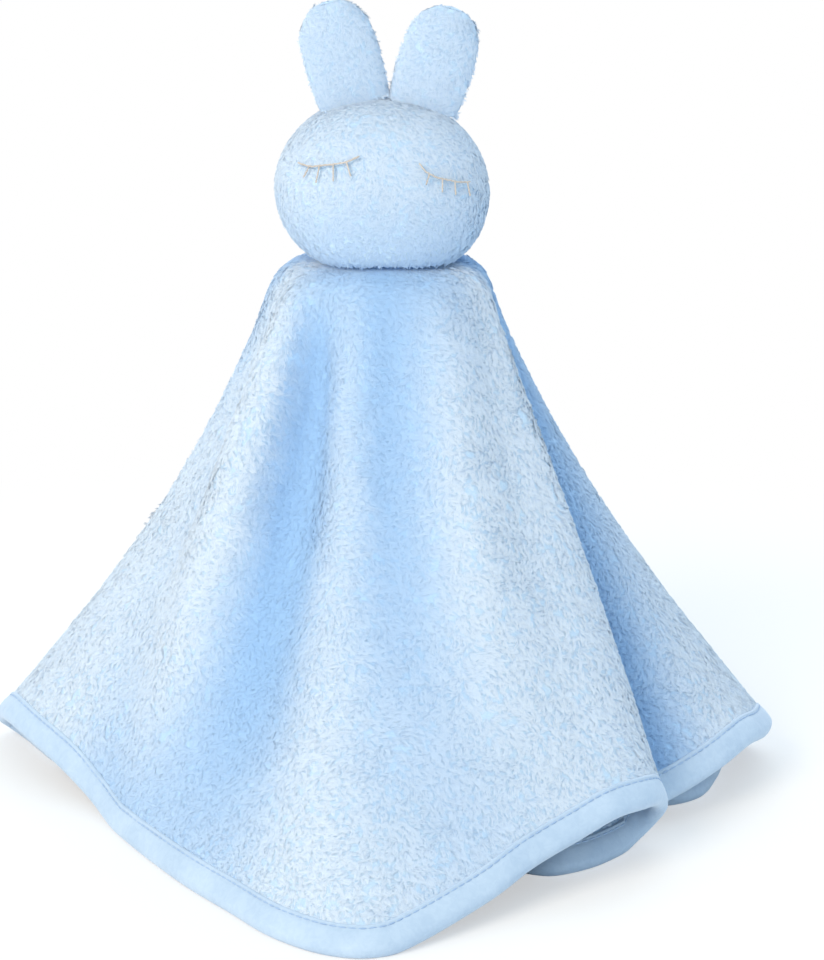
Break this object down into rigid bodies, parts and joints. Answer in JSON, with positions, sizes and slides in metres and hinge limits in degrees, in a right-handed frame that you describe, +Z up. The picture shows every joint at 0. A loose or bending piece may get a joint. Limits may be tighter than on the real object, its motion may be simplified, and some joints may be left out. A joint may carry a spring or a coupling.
{
  "type": "comfort blanket lovey",
  "caption": "Comfort blanket of short plush with a bound edge, draped as a standing tent under a small padded rabbit head with soft ears and closed embroidered eyes.",
  "frame": {"origin": "on the floor, under the middle of the whole draped toy", "axes": "+Z up, the face looks towards -Y, +X is the viewer's right"},
  "size_m": [0.2766, 0.3748, 0.2691],
  "materials": {
    "blue_plush": "short clumped pile, pale blue, matt with a soft sheen",
    "blue_tape": "smooth knitted binding tape, pale blue",
    "seam_thread": "twisted sewing thread, pale blue",
    "fibre_fill": "loose white polyester fibre, hidden inside",
    "eye_thread": "satin-stitched beige thread"
  },
  "bodies": {
    "blanket": {"blanket_cloth": "blue_plush", "edge_binding": "blue_tape"},
    "neck_ring": {"neck_stitches": "seam_thread"},
    "head": {"head_front_left": "blue_plush", "head_front_right": "blue_plush", "head_back_left": "blue_plush", "head_back_right": "blue_plush", "head_base_panel": "blue_plush", "head_stuffing": "fibre_fill", "eye_left_embroidery": "eye_thread", "eye_right_embroidery": "eye_thread"},
    "ear_left": {"ear_left_front": "blue_plush", "ear_left_back": "blue_plush", "ear_left_filling": "fibre_fill"},
    "ear_right": {"ear_right_front": "blue_plush", "ear_right_back": "blue_plush", "ear_right_filling": "fibre_fill"}
  },
  "joints": [
    {"name": "head_tilt", "type": "hinge", "parent": "blanket", "child": "neck_ring", "pos_m": [0.001, 0.0055, 0.083], "axis": [0, 1, 0], "range_deg": [-8, 8], "stiffness_Nm_per_rad": 0.5},
    {"name": "head_nod", "type": "hinge", "parent": "neck_ring", "child": "head", "pos_m": [0.001, 0.0055, 0.083], "axis": [1, 0, 0], "range_deg": [-8, 8], "stiffness_Nm_per_rad": 0.5},
    {"name": "ear_left_fold", "type": "hinge", "parent": "head", "child": "ear_left", "pos_m": [-0.0099, 0.00474, 0.23596], "axis": [0.9758, 0.0682, 0.2079], "range_deg": [-30, 30], "stiffness_Nm_per_rad": 0.02},
    {"name": "ear_right_fold", "type": "hinge", "parent": "head", "child": "ear_right", "pos_m": [0.01689, 0.00661, 0.23366], "axis": [0.9792, 0.0685, -0.1908], "range_deg": [-30, 30], "stiffness_Nm_per_rad": 0.02}
  ]
}
